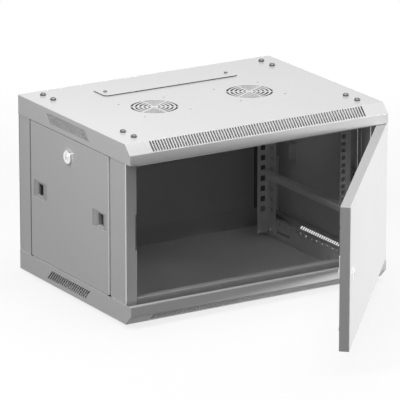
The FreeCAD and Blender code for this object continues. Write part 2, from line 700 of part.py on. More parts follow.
def depth_bar():
    """Channel from the front posts to the rear posts, bolted under the roof; the rails clamp to its web."""
    line = [(BAR_X + BAR_LIP, WEB_FOOT), (BAR_X, WEB_FOOT), (BAR_X, INNER_Z), (BAR_X + BAR_FLANGE, INNER_Z)]
    bar = stand(strip_face(line, BAR_SHEET), ELEVATION, BAR_START, BAR_END)
    relief = box((BAR_X - CLEAR, BAR_X + BAR_FLANGE + CLEAR), (WEB_END, BAR_END + CLEAR),
                 (WEB_FOOT - CLEAR, INNER_Z - BAR_SHEET - BEND))
    bolts = [rod(vec(CAP_BOLT_X, y, INNER_Z - 2 * BAR_SHEET), UP, BOLT_RADIUS + CLEAR, 3 * BAR_SHEET)
             for y in CAP_BOLT_YS]
    return bar.cut([relief] + bar_holes() + bolts)


def make_bars():
    bar = depth_bar()
    save_pair("upper_depth_bar", bar)
    save_pair("lower_depth_bar", mirror_z(bar))


# ---- Rails, drawn on the right. The left front rail stands farther back than the right one.
def rack_holes(flange_y):
    """Square holes of the 19-inch pattern through a front rail's flange."""
    y = (flange_y - 2 * BAR_SHEET, flange_y + 2 * BAR_SHEET)
    x = (RACK_HOLE_SPACING / 2 - RACK_HOLE / 2, RACK_HOLE_SPACING / 2 + RACK_HOLE / 2)
    base = -RACK_UNITS * UNIT_HEIGHT / 2
    levels = [base + unit * UNIT_HEIGHT + rise for unit in range(RACK_UNITS) for rise in RACK_HOLE_RISES]
    return [box(x, y, (z - RACK_HOLE / 2, z + RACK_HOLE / 2)) for z in levels]


def half_units():
    """Middles of the half units, from the lowest."""
    return [(i + 0.5 - RACK_UNITS) * UNIT_HEIGHT / 2 for i in range(2 * RACK_UNITS)]


def rear_openings(flange_y):
    """Square opening in each half unit of a rear rail's flange."""
    y = (flange_y - 2 * BAR_SHEET, flange_y + 2 * BAR_SHEET)
    middle = RAIL_X - RAIL_WIDTH / 2
    x = (middle - REAR_OPENING / 2, middle + REAR_OPENING / 2)
    return [box(x, y, (z - REAR_OPENING / 2, z + REAR_OPENING / 2)) for z in half_units()]


def web_cutters(clamp_y):
    """Slot in each half unit of a rail's web, and its clamp-bolt and runner-bolt holes."""
    x = (RAIL_INNER_X - CLEAR, RAIL_X + CLEAR)
    y = (clamp_y - RAIL_SLOT_LENGTH / 2, clamp_y + RAIL_SLOT_LENGTH / 2)
    cutters = [box(x, y, (z - RAIL_SLOT_HEIGHT / 2, z + RAIL_SLOT_HEIGHT / 2)) for z in half_units()]
    for z, radius in ((CLAMP_Z, BOLT_RADIUS), (-CLAMP_Z, BOLT_RADIUS),
                      (RUNNER_TOP - RUNNER_BOLT_DROP, RUNNER_BOLT_RADIUS)):
        cutters.append(rod(vec(x[0], clamp_y, z), vec(1, 0, 0), radius + RUN, 2 * BAR_SHEET))
    return cutters


def front_rail(front):
    line = [(RAIL_X, front + RAIL_DEPTH), (RAIL_X, front), (RAIL_X - RAIL_WIDTH, front)]
    rail = stand(strip_face(line, BAR_SHEET), PLAN, -RAIL_TOP, RAIL_TOP)
    return rail.cut(rack_holes(front) + web_cutters(front + CLAMP_INSET))


def rear_rail():
    line = [(RAIL_X - RAIL_WIDTH, RAIL_REAR), (RAIL_X, RAIL_REAR), (RAIL_X, RAIL_REAR - RAIL_DEPTH)]
    rail = stand(strip_face(line, BAR_SHEET), PLAN, -RAIL_TOP, RAIL_TOP)
    return rail.cut(rear_openings(RAIL_REAR) + web_cutters(REAR_CLAMP_Y))


def runner(front):
    """Ledge between the front and rear rails, which carries the side of heavy equipment."""
    ledge = RAIL_INNER_X - RUNNER_LEDGE
    line = [(ledge, RUNNER_TOP - RUNNER_LIP), (ledge, RUNNER_TOP), (RAIL_INNER_X, RUNNER_TOP),
            (RAIL_INNER_X, RUNNER_TOP - RUNNER_LEG)]
    shelf = stand(strip_face(line, BAR_SHEET), ELEVATION, front + BAR_SHEET + RUNNER_END_GAP,
                  RAIL_REAR - BAR_SHEET - RUNNER_END_GAP)
    holes = [rod(vec(ledge, y, RUNNER_TOP - RUNNER_BOLT_DROP), vec(1, 0, 0), RUNNER_BOLT_RADIUS + RUN,
                 2 * RUNNER_LEDGE) for y in (front + CLAMP_INSET, REAR_CLAMP_Y)]
    return shelf.cut(holes)


def rail_fixings(front):
    """Clamp bolts and runner bolts of one side, each with its nut."""
    out = vec(1, 0, 0)
    clamp_length = 2 * BAR_SHEET + 2 * CLEAR + BOLT_NUT + BOLT_TAIL
    runner_length = 2 * BAR_SHEET + RUNNER_NUT + BOLT_TAIL
    runner_z = RUNNER_TOP - RUNNER_BOLT_DROP
    pieces = []
    for y in (front + CLAMP_INSET, REAR_CLAMP_Y):
        for z in (-CLAMP_Z, CLAMP_Z):
            pieces.append(bolt(vec(RAIL_INNER_X, y, z), -out, BOLT_RADIUS, BOLT_HEAD_RADIUS, BOLT_HEAD,
                               clamp_length))
            pieces.append(hex_nut(vec(BAR_X + BAR_SHEET + CLEAR, y, z), out, BOLT_NUT_FLATS, BOLT_NUT,
                                  BOLT_RADIUS + RUN))
        pieces.append(bolt(vec(RAIL_INNER_X - BAR_SHEET, y, runner_z), -out, RUNNER_BOLT_RADIUS,
                           2 * RUNNER_BOLT_RADIUS, RUNNER_BOLT_HEAD, runner_length))
        pieces.append(hex_nut(vec(RAIL_X, y, runner_z), out, RUNNER_NUT_FLATS, RUNNER_NUT,
                              RUNNER_BOLT_RADIUS + RUN))
    return pieces


def make_rails():
    save("right_front_rail", front_rail(RAIL_FRONT))
    save("right_equipment_runner", runner(RAIL_FRONT))
    save("right_rail_fixings", rail_fixings(RAIL_FRONT))
    left_front = RAIL_FRONT + LEFT_SET_BACK
    save("left_front_rail", mirror_x(front_rail(left_front)))
    save("left_equipment_runner", mirror_x(runner(left_front)))
    save("left_rail_fixings", [mirror_x(piece) for piece in rail_fixings(left_front)])
    save_pair("rear_rail", rear_rail())


# ---- Cam locks. Each is drawn about Z with its cam along +Y, and its bezel stands on the skin at z = 0.
def lock_body(bezel_radius, bezel, barrel):
    bore = PLUG_RADIUS + RUN
    return turned([(bore, -barrel), (BARREL_RADIUS, -barrel), (BARREL_RADIUS, 0), (bezel_radius, 0),
                   (bezel_radius, bezel - BEZEL_CHAMFER), (bezel_radius - BEZEL_CHAMFER, bezel),
                   (bore, bezel)])


def lock_nut():
    return hex_nut(vec(0, 0, -SKIN), -UP, LOCK_NUT_FLATS, LOCK_NUT, BARREL_RADIUS + RUN)


def lock_plug(bezel, barrel):
    """Turning plug: a keyed head, and a square tail that drives the cam."""
    head = bezel + PLUG_HEAD
    body = turned([(0, -barrel), (PLUG_RADIUS, -barrel), (PLUG_RADIUS, head), (0, head)])
    half = CAM_SQUARE / 2
    tail_end = -barrel - CLEAR - CAM_THICKNESS
    tail = box((-half, half), (-half, half), (tail_end, -barrel))
    key = box((-KEY_SLOT_WIDTH / 2, KEY_SLOT_WIDTH / 2), (-KEY_SLOT_LENGTH / 2, KEY_SLOT_LENGTH / 2),
              (head - KEY_SLOT_DEPTH, head + SKIN))
    thread = rod(vec(0, 0, tail_end - CLEAR), UP, LOCK_SCREW_RADIUS + RUN, LOCK_SCREW_LENGTH + 2 * CLEAR)
    return body.fuse(tail).cut([key, thread])


def lock_cam(barrel, length):
    half = CAM_SQUARE / 2 + RUN
    low = -barrel - CLEAR - CAM_THICKNESS
    drawn = slot_face((0, 0), (0, length - CAM_WIDTH / 2), CAM_WIDTH / 2)
    plate = stand(drawn, PLAN, low, low + CAM_THICKNESS)
    return plate.cut(box((-half, half), (-half, half), (low - CLEAR, low + CAM_THICKNESS + CLEAR)))


def lock_screw(barrel):
    seat = vec(0, 0, -barrel - CLEAR - CAM_THICKNESS)
    return bolt(seat, -UP, LOCK_SCREW_RADIUS, CAM_SQUARE, LOCK_SCREW_HEAD, LOCK_SCREW_LENGTH)


def lock_parts(bezel_radius, bezel, barrel, cam_length, plane, centre):
    """All pieces of a lock, stood up in the plane of its panel and moved to its place."""
    drawn = {"lock_body": lock_body(bezel_radius, bezel, barrel), "lock_nut": lock_nut(),
             "lock_plug": lock_plug(bezel, barrel), "lock_cam": lock_cam(barrel, cam_length),
             "lock_screw": lock_screw(barrel)}
    placed = {}
    for name, shape in drawn.items():
        placed[name] = shape.transformed(plane)
        placed[name].translate(centre)
    return placed


# ---- Door, drawn shut and then swung open
def door_block(inset):
    """Outside of the door, or its hollow at a sheet's inset, with the bends round its face."""
    block = box((inset - DOOR_X, DOOR_X - inset), (DOOR_FACE + inset, DOOR_BACK - inset),
                (inset - DOOR_Z, DOOR_Z - inset))
    face_edges = [e for e in block.Edges if e.BoundBox.YMin < DOOR_FACE + SHEET]
    return block.makeFillet(PAN_BEND - inset, face_edges)


def door_shell():
    """Pan with a rim turned in behind, holed for its lock and its hinge pins."""
    block = door_block(0)
    hollow = door_block(SKIN)
    rim = box((DOOR_RIM - DOOR_X, DOOR_X - DOOR_RIM), (DOOR_BACK - 2 * SKIN, DOOR_BACK + SKIN),
              (DOOR_RIM - DOOR_Z, DOOR_Z - DOOR_RIM))
    lock = rod(vec(DOOR_LOCK_X, DOOR_FACE - SKIN, 0), vec(0, 1, 0), BARREL_RADIUS + CLEAR, 3 * SKIN)
    pins = rod(vec(HINGE_X, HINGE_Y, -DOOR_Z - SKIN), UP, HINGE_PIN_RADIUS + RUN, 2 * (DOOR_Z + SKIN))
    return block.cut([hollow, rim, lock, pins])


def door_stiffener():
    """Hat section up the middle of the door's inner face."""
    foot, crown = DOOR_FACE + SKIN, DOOR_FACE + SKIN + STIFFENER_DEPTH
    side = STIFFENER_WIDTH / 2
    toe = side + STIFFENER_FOOT
    line = [(toe, foot), (side, foot), (side, crown), (-side, crown), (-side, foot), (-toe, foot)]
    height = DOOR_Z - SKIN - STIFFENER_END_GAP
    return stand(strip_face(line, SKIN), PLAN, -height, height)


def hinge_pin():
    """Upper pin: its head under the door's top flange, its shank up through the cap's bush."""
    root = DOOR_Z - SKIN
    top = FLANGE_Z + SHEET + HINGE_PIN_REACH
    head = HINGE_PIN_RADIUS + HINGE_PIN_RIM
    pin = turned([(0, root - HINGE_PIN_HEAD), (head, root - HINGE_PIN_HEAD), (head, root),
                  (HINGE_PIN_RADIUS, root), (HINGE_PIN_RADIUS, top), (0, top)])
    pin.translate(vec(HINGE_X, HINGE_Y))
    return pin


def hinge_bush():
    """Upper bush in the cap's tab; its flange takes the door's end thrust."""
    bore = HINGE_PIN_RADIUS + RUN
    foot = FLANGE_Z - DOOR_PLAY + CLEAR
    top = FLANGE_Z + SHEET + CLEAR
    bush = turned([(bore, foot), (HINGE_BUSH_FLANGE, foot), (HINGE_BUSH_FLANGE, FLANGE_Z),
                   (HINGE_BUSH_RADIUS, FLANGE_Z), (HINGE_BUSH_RADIUS, top), (bore, top)])
    bush.translate(vec(HINGE_X, HINGE_Y))
    return bush


def door_bumpers():
    """Rubber buffers on the door's rim: two at the free edge, and one at the top and the bottom."""
    height = BODY_FRONT - CLEAR - DOOR_BACK
    button = turned([(0, 0), (BUMPER_RADIUS, 0), (BUMPER_RADIUS - height / 2, height), (0, height)])
    edge_x = DOOR_RIM / 2 - DOOR_X
    edge_z = (DOOR_Z + OPEN_Z) / 2
    places = [(edge_x, BUMPER_RISE), (edge_x, -BUMPER_RISE), (0, edge_z), (0, -edge_z)]
    return [aim(button, vec(x, DOOR_BACK, z), vec(0, 1, 0)) for x, z in places]


def swung(shape):
    shape.rotate(vec(HINGE_X, HINGE_Y), UP, DOOR_OPEN_ANGLE)
    return shape


def make_door():
    lock = lock_parts(DOOR_BEZEL_RADIUS, DOOR_BEZEL, DOOR_BARREL, DOOR_CAM_LENGTH, ELEVATION,
                      vec(DOOR_LOCK_X, DOOR_FACE, 0))
    save("door_shell", swung(door_shell()))
    save("door_stiffener", swung(door_stiffener()))
    save("door_bumpers", [swung(b) for b in door_bumpers()])
    save("door_hinge_pins", [swung(p) for p in both_levels([hinge_pin()])])
    save("hinge_bushes", both_levels([hinge_bush()]))
    for name, shape in lock.items():
        save("door_" + name, swung(shape))


# ---- Side panels, drawn on the right
def along(latch_y, inward, start, end):
    """Y range of a latch's piece, measured from its middle towards the middle of the panel."""
    return span(latch_y + inward * start, latch_y + inward * end)


def raised(shape):
    """Lift a latch's piece, drawn about the middle of the cabinet, to its height."""
    shape.translate(vec(0, 0, LATCH_RISE))
    return shape


def latch_cutout(latch_y):
    cutout = box((POST_X - 2 * SKIN, POST_X + SKIN), along(latch_y, 1, -LATCH_LENGTH / 2, LATCH_LENGTH / 2),
                 (-LATCH_HEIGHT / 2, LATCH_HEIGHT / 2))
    return raised(cutout)


def panel_block(inner_x, inset):
    """Outside of a side panel, or its hollow at a sheet's inset, with the bends round its face."""
    block = box((inner_x, POST_X - inset), (PANEL_FRONT + inset, PANEL_REAR - inset),
                (PANEL_BOTTOM + inset, PANEL_TOP - inset))
    face_edges = [e for e in block.Edges if e.BoundBox.XMax > inner_x + SHEET]
    return block.makeFillet(PAN_BEND - inset, face_edges)


def side_panel():
    """Pan with cut-outs for its two latches and a hole for its lock."""
    block = panel_block(SEAT_X + CLEAR, 0)
    hollow = panel_block(SEAT_X - SKIN, SKIN)
    lock = rod(vec(POST_X - 2 * SKIN, SIDE_LOCK_Y, SIDE_LOCK_Z), vec(1, 0, 0),
               BARREL_RADIUS + CLEAR, 3 * SKIN)
    return block.cut([hollow, lock, latch_cutout(FRONT_LATCH_Y), latch_cutout(REAR_LATCH_Y)])


def latch_housing(latch_y, inward):
    """Moulded housing: a recessed face with a bevelled finger window, and the slider's channel behind it."""
    half, tall = LATCH_LENGTH / 2, LATCH_HEIGHT / 2
    face = POST_X - LATCH_RECESS
    end = half - LATCH_GAP - LATCH_END_WALL
    body = box((SLIDER_X - CLEAR - LATCH_WALL, face),
               along(latch_y, inward, LATCH_GAP - half, half - LATCH_GAP),
               (LATCH_GAP - tall, tall - LATCH_GAP))
    flange = box((POST_X - SKIN - LATCH_WALL, POST_X - SKIN),
                 along(latch_y, inward, -half - LATCH_FLANGE, half + LATCH_FLANGE),
                 (-tall - LATCH_FLANGE, tall + LATCH_FLANGE))
    window_y = along(latch_y, inward, WINDOW_INSET - half, WINDOW_INSET - half + WINDOW_LENGTH)
    window = box((SLIDER_TOP, POST_X), window_y, (-WINDOW_HEIGHT / 2, WINDOW_HEIGHT / 2))
    channel = box((SLIDER_X - CLEAR, SLIDER_TOP + CLEAR), along(latch_y, inward, -half, end),
                  (-SLIDER_WIDTH / 2 - CLEAR, SLIDER_WIDTH / 2 + CLEAR))
    housing = body.fuse(flange).cut([window, channel])
    rim = [e for e in housing.Edges if e.BoundBox.XMin > face - CLEAR
           and max(abs(v.Z) for v in e.Vertexes) < WINDOW_HEIGHT / 2 + CLEAR]
    return raised(housing.makeChamfer(WINDOW_BEVEL, rim))


def latch_slider(latch_y, inward, inset):
    """Slider with its finger rib and the tongue that catches behind the post's seat."""
    heel = SLIDER_INSET - LATCH_LENGTH / 2
    rib = WINDOW_INSET + RIB_INSET - LATCH_LENGTH / 2
    body = box((SLIDER_X, SLIDER_TOP), along(latch_y, inward, heel, heel + SLIDER_LENGTH),
               (-SLIDER_WIDTH / 2, SLIDER_WIDTH / 2))
    tongue = box((SLIDER_X, TONGUE_X), along(latch_y, inward, TONGUE_GAP - inset, heel),
                 (-TONGUE_WIDTH / 2, TONGUE_WIDTH / 2))
    grip = box((SLIDER_TOP, SLIDER_TOP + RIB_HEIGHT), along(latch_y, inward, rib, rib + RIB_WIDTH),
               (RIB_INSET - WINDOW_HEIGHT / 2, WINDOW_HEIGHT / 2 - RIB_INSET))
    return raised(body.fuse([tongue, grip]))


def latch_spring(latch_y, inward):
    """Folded strip between the slider and the housing's end wall."""
    start = SLIDER_INSET - LATCH_LENGTH / 2 + SLIDER_LENGTH + SPRING_SHEET
    end = LATCH_LENGTH / 2 - LATCH_GAP - LATCH_END_WALL
    step = (end - start) / SPRING_LEGS
    points = [(latch_y + inward * (start + i * step), inward * SPRING_REACH * (-1) ** i)
              for i in range(SPRING_LEGS + 1)]
    middle = (SLIDER_X + SLIDER_TOP) / 2
    return raised(stand(strip_face(points, SPRING_SHEET), SIDE, middle - SPRING_WIDTH / 2,
                        middle + SPRING_WIDTH / 2))


def make_side_panels():
    latches = (("front", FRONT_LATCH_Y, 1, FRONT_LATCH_INSET), ("rear", REAR_LATCH_Y, -1, REAR_LATCH_INSET))
    save_pair("side_panel", side_panel())
    save_pair("latch_housings", [latch_housing(y, inward) for _, y, inward, _ in latches])
    for name, y, inward, inset in latches:
        save_pair(name + "_latch_slider", latch_slider(y, inward, inset))
        save_pair(name + "_latch_spring", latch_spring(y, inward))
    lock = lock_parts(SIDE_BEZEL_RADIUS, SIDE_BEZEL, SIDE_BARREL, SIDE_CAM_LENGTH, SIDE,
                      vec(POST_X, SIDE_LOCK_Y, SIDE_LOCK_Z))
    for name, shape in lock.items():
        save_pair("side_" + name, shape)


os.makedirs("parts", exist_ok=True)
make_caps()
make_frame()
make_bars()
make_rails()
make_door()
make_side_panels()
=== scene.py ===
import bpy
import bmesh
import json
import math
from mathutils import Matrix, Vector


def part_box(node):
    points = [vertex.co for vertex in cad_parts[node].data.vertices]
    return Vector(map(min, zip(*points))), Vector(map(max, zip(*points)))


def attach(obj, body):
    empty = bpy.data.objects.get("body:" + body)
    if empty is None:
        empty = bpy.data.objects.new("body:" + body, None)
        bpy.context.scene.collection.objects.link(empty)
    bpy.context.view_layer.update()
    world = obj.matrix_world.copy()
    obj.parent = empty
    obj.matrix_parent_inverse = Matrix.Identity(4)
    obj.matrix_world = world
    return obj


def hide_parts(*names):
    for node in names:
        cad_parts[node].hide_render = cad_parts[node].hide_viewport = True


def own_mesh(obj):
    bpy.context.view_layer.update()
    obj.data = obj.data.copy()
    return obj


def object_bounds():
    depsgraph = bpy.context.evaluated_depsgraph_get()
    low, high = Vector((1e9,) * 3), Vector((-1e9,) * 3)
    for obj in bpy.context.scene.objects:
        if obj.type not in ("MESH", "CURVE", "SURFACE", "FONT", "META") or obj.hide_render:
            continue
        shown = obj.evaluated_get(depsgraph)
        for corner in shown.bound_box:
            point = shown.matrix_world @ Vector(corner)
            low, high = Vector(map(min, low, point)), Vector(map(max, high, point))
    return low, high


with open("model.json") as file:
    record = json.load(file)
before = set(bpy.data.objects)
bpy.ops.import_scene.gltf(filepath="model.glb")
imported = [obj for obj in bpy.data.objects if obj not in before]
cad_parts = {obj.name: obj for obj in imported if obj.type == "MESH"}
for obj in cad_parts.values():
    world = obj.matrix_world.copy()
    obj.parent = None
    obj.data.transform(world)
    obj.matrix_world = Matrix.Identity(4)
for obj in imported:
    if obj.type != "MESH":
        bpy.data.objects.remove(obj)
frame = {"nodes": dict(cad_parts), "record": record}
NODES = frame["nodes"]
CAD_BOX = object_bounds()

# ---- Places that come from the frame, in metres
_, ROOF_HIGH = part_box("roof_cap")
FLOOR_LOW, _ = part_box("floor_cap")
BODY_CENTRE = (ROOF_HIGH + FLOOR_LOW) / 2
GROUND = CAD_BOX[0].z - 0.001       # just under the part, so that the two don't touch

# ---- Camera: seen from the front left and above, through a long lens
VIEW_AZIMUTH = math.radians(31.3)
VIEW_ELEVATION = math.radians(16.72)
VIEW_PLACE = (-4.0359, -6.8541, 2.3033)
VIEW_SENSOR = 36.0
VIEW_LENS = 360.0
VIEW_FAR = 60.0

# ---- Light
WORLD_LIGHT = 0.13
LAMPS = (   # name, place, width, height in metres, and power in watts
    ("top_light", (0.2, -0.4, 2.8), 2.2, 2.2, 52.0),
    ("left_light", (-1.35, -0.68, 1.2), 0.8, 1.0, 13.8),
    ("back_light", (0.4, 2.2, 0.0), 1.6, 0.3, 24.0),
    ("right_light", (1.7, -1.86, 0.05), 1.0, 0.2, 36.0),
)

# ---- Floor
FLOOR_HALF = 12.0       # half its side, in metres
FLOOR_GREY = 0.08       # its grey to the light that bounces between it and the part
SHADED_GREY = 0.95      # its grey where the camera sees light and shadow on it
SHADOW_SHARE = 0.2      # how much of the seen floor takes light and shadow, the rest being plain white
SHADOW_REACH = 0.7      # from here out, in metres, the shaded share fades to nothing

# ---- Which faces the painted shade and light go on
FACING = 0.5            # a face looks along an axis when its normal reaches this far along it
SQUARE = 0.97           # and is square to one of them when its normal reaches this far
UPRIGHT = 0.9           # the door's top face looks this far upwards or more
BACK_LIP = -0.05        # the caps' rearmost part starts here, in metres along Y
FLOOR_TOP = -0.15       # and the floor cap lies below this height

# ---- Painted shade and light, as greys from 0 for black to 1 for white
BACK_INNER_SHADE_GREY = 0.42      # painted shade on the back panel's face to the inside
POST_FRONT_SHADE_GREY = 0.18      # painted shade on the rear posts' faces that look forward
COVER_EDGE_SHADE_GREY = 0.06      # painted shade on the cable cover's faces, all but its top
LIP_INNER_SHADE_GREY = 0.40       # painted shade on the forward faces of the caps' rearmost part
FLOOR_TOP_LIGHT_GREY = 0.88       # painted light on the floor cap's faces that look up
# painted highlights on the frame's and the side panels' bends, which are also made metallic
FRAME_BEND_HIGHLIGHT_GREY = 0.62
PANEL_BEND_HIGHLIGHT_GREY = 0.50
# painted shade on the door's top face
DOOR_TOP_SHADE_GREY = 0.50


# ---- Node helpers
def new_material(name):
    material = bpy.data.materials.new(name)
    material.use_nodes = True
    material.node_tree.nodes.clear()
    return material


def add_node(material, kind, **inputs):
    node = material.node_tree.nodes.new(kind)
    for key, value in inputs.items():
        node.inputs[key.replace("_", " ")].default_value = value
    return node


def link(material, source, target):
    material.node_tree.links.new(source, target)


def grain(material, scale, detail):
    """Noise in the object's own coordinates."""
    place = material.node_tree.nodes.new("ShaderNodeTexCoord")
    noise = add_node(material, "ShaderNodeTexNoise", Scale=scale, Detail=detail)
    link(material, place.outputs["Object"], noise.inputs["Vector"])
    return noise


def ramp(material, source, low, high):
    """Colour ramp between two colours, or two grey levels."""
    node = material.node_tree.nodes.new("ShaderNodeValToRGB")
    node.color_ramp.elements[0].position = 0.3
    node.color_ramp.elements[1].position = 0.7
    node.color_ramp.elements[0].color = low
    node.color_ramp.elements[1].color = high
    link(material, source, node.inputs["Fac"])
    return node


def grey(level):
    return (level, level, level, 1.0)


def surface(name, level, spread, roughness, metallic=0.0, grain_scale=900.0, bump=0.05,
            tint=(1, 1, 1), ior=1.45):
    """A finish: its grey level with a slight variation, and a fine bump."""
    material = new_material(name)
    shader = add_node(material, "ShaderNodeBsdfPrincipled", Roughness=roughness, Metallic=metallic,
                      IOR=ior)
    out = material.node_tree.nodes.new("ShaderNodeOutputMaterial")
    broad = grain(material, 6.0, 2.0)
    low = tuple((level - spread) * t for t in tint) + (1.0,)
    high = tuple((level + spread) * t for t in tint) + (1.0,)
    colour = ramp(material, broad.outputs["Fac"], low, high)
    link(material, colour.outputs["Color"], shader.inputs["Base Color"])
    fine = grain(material, grain_scale, 3.0)
    relief = add_node(material, "ShaderNodeBump", Strength=bump, Distance=0.0002)
    link(material, fine.outputs["Fac"], relief.inputs["Height"])
    link(material, relief.outputs["Normal"], shader.inputs["Normal"])
    link(material, shader.outputs["BSDF"], out.inputs["Surface"])
    return material


def beyond(material, output, axis, test, limit):
    """1 where the surface's direction or place along a world axis passes a test, and 0 elsewhere."""
    geometry = material.node_tree.nodes.new("ShaderNodeNewGeometry")
    parts = material.node_tree.nodes.new("ShaderNodeSeparateXYZ")
    compare = material.node_tree.nodes.new("ShaderNodeMath")
    compare.operation = test
    compare.inputs[1].default_value = limit
    link(material, geometry.outputs[output], parts.inputs["Vector"])
    link(material, parts.outputs[axis], compare.inputs[0])
    return compare.outputs["Value"]


def bends(material):
    """1 where the surface looks along none of the world's axes, as on a bend, and 0 elsewhere."""
    geometry = material.node_tree.nodes.new("ShaderNodeNewGeometry")
    size = material.node_tree.nodes.new("ShaderNodeVectorMath")
    size.operation = "ABSOLUTE"
    parts = material.node_tree.nodes.new("ShaderNodeSeparateXYZ")
    larger = material.node_tree.nodes.new("ShaderNodeMath")
    larger.operation = "MAXIMUM"
    largest = material.node_tree.nodes.new("ShaderNodeMath")
    largest.operation = "MAXIMUM"
    slanted = material.node_tree.nodes.new("ShaderNodeMath")
    slanted.operation = "LESS_THAN"
    slanted.inputs[1].default_value = SQUARE
    link(material, geometry.outputs["True Normal"], size.inputs[0])
    link(material, size.outputs["Vector"], parts.inputs["Vector"])
    link(material, parts.outputs["X"], larger.inputs[0])
    link(material, parts.outputs["Y"], larger.inputs[1])
    link(material, larger.outputs["Value"], largest.inputs[0])
    link(material, parts.outputs["Z"], largest.inputs[1])
    link(material, largest.outputs["Value"], slanted.inputs[0])
    return slanted.outputs["Value"]


def repaint(material, level, masks, painted_highlight=False):
    """Give a finish another grey where every mask is 1, which paints shade or light there, and if asked
    make it metallic there too, for a painted highlight.
    """
    shader = next(n for n in material.node_tree.nodes if n.type == "BSDF_PRINCIPLED")
    colour = shader.inputs["Base Color"].links[0].from_socket
    mask = masks[0]
    for other in masks[1:]:
        both = material.node_tree.nodes.new("ShaderNodeMath")
        both.operation = "MULTIPLY"
        link(material, mask, both.inputs[0])
        link(material, other, both.inputs[1])
        mask = both.outputs["Value"]
    mix = material.node_tree.nodes.new("ShaderNodeMix")
    mix.data_type = "RGBA"
    b_socket = next(i for i in mix.inputs if i.name == "B" and i.type == "RGBA")
    a_socket = next(i for i in mix.inputs if i.name == "A" and i.type == "RGBA")
    result = next(o for o in mix.outputs if o.type == "RGBA")
    b_socket.default_value = grey(level)
    link(material, mask, mix.inputs[0])
    link(material, colour, a_socket)
    link(material, result, shader.inputs["Base Color"])
    if painted_highlight:
        link(material, mask, shader.inputs["Metallic"])


# ---- Finishes
CAP_PAINT = surface("cap_powder_coat", 0.70, 0.006, 0.22, ior=1.6)
DOOR_PAINT = surface("door_powder_coat", 0.74, 0.006, 0.35)
PANEL_PAINT = surface("panel_powder_coat", 0.66, 0.006, 0.22, ior=1.6)
FRAME_PAINT = surface("frame_powder_coat", 0.64, 0.006, 0.22, ior=1.6)
BACK_PAINT = surface("back_powder_coat", 0.66, 0.006, 0.38)
RAIL_PAINT = surface("rail_powder_coat", 0.66, 0.01, 0.35)
# The front rails get a darker copy of the rail paint: painted shade.
FRONT_RAIL_SHADED_PAINT = surface("front_rail_shaded_powder_coat", 0.42, 0.01, 0.35)
# The runners get a lighter copy of the rail paint: painted light.
RUNNER_LIT_PAINT = surface("runner_lit_powder_coat", 0.80, 0.01, 0.3)
# Own copy of the frame paint, so that painted shade can go on the rear posts' forward faces
REAR_POST_PAINT = surface("rear_post_powder_coat", 0.64, 0.006, 0.22, ior=1.6)
# The lower front member gets a darker copy of the frame paint: painted shade.
MEMBER_SHADED_PAINT = surface("lower_member_shaded_powder_coat", 0.43, 0.006, 0.3)
# Own copy of the cap paint, so that painted shade can go on the cable cover's edges
COVER_PAINT = surface("cover_powder_coat", 0.70, 0.006, 0.22, ior=1.6)
BLACK_ZINC = surface("black_zinc", 0.16, 0.01, 0.28, metallic=0.85, grain_scale=3000.0)
BRIGHT_ZINC = surface("bright_zinc", 0.62, 0.03, 0.3, metallic=1.0, grain_scale=3000.0, tint=(1, 1, 0.97))
CHROME = surface("chrome_plate", 0.86, 0.01, 0.12, metallic=1.0, grain_scale=1500.0, bump=0.01)
LATCH_PLASTIC = surface("latch_housing_plastic", 0.55, 0.008, 0.5, grain_scale=2000.0, bump=0.1)
SLIDER_PLASTIC = surface("latch_slider_plastic", 0.06, 0.005, 0.5, grain_scale=2000.0, bump=0.1)
SPRING_STEEL = surface("spring_steel", 0.5, 0.02, 0.3, metallic=1.0, grain_scale=2500.0)
RUBBER = surface("rubber", 0.03, 0.004, 0.8, grain_scale=1500.0, bump=0.2)
NYLON = surface("black_nylon", 0.04, 0.004, 0.5, grain_scale=1500.0, bump=0.1)


def paint_shade_and_highlights():
    """Paint shade and light into some faces of a finish: painted shade on inner faces, on the cable
    cover's edges and on the door's top, painted light on the floor cap's top, and painted highlights on
    the bends.
    """
    repaint(BACK_PAINT, BACK_INNER_SHADE_GREY,
            [beyond(BACK_PAINT, "True Normal", "Y", "LESS_THAN", -FACING)])
    repaint(REAR_POST_PAINT, POST_FRONT_SHADE_GREY,
            [beyond(REAR_POST_PAINT, "True Normal", "Y", "LESS_THAN", -FACING)])
    repaint(COVER_PAINT, COVER_EDGE_SHADE_GREY,
            [beyond(COVER_PAINT, "True Normal", "Z", "LESS_THAN", FACING)])
    repaint(CAP_PAINT, LIP_INNER_SHADE_GREY,
            [beyond(CAP_PAINT, "True Normal", "Y", "LESS_THAN", -FACING),
             beyond(CAP_PAINT, "Position", "Y", "GREATER_THAN", BACK_LIP)])
    repaint(CAP_PAINT, FLOOR_TOP_LIGHT_GREY,
            [beyond(CAP_PAINT, "True Normal", "Z", "GREATER_THAN", FACING),
             beyond(CAP_PAINT, "Position", "Z", "LESS_THAN", FLOOR_TOP)])
    repaint(FRAME_PAINT, FRAME_BEND_HIGHLIGHT_GREY, [bends(FRAME_PAINT)], painted_highlight=True)
    repaint(PANEL_PAINT, PANEL_BEND_HIGHLIGHT_GREY, [bends(PANEL_PAINT)], painted_highlight=True)
    repaint(DOOR_PAINT, DOOR_TOP_SHADE_GREY,
            [beyond(DOOR_PAINT, "True Normal", "Z", "GREATER_THAN", UPRIGHT)])


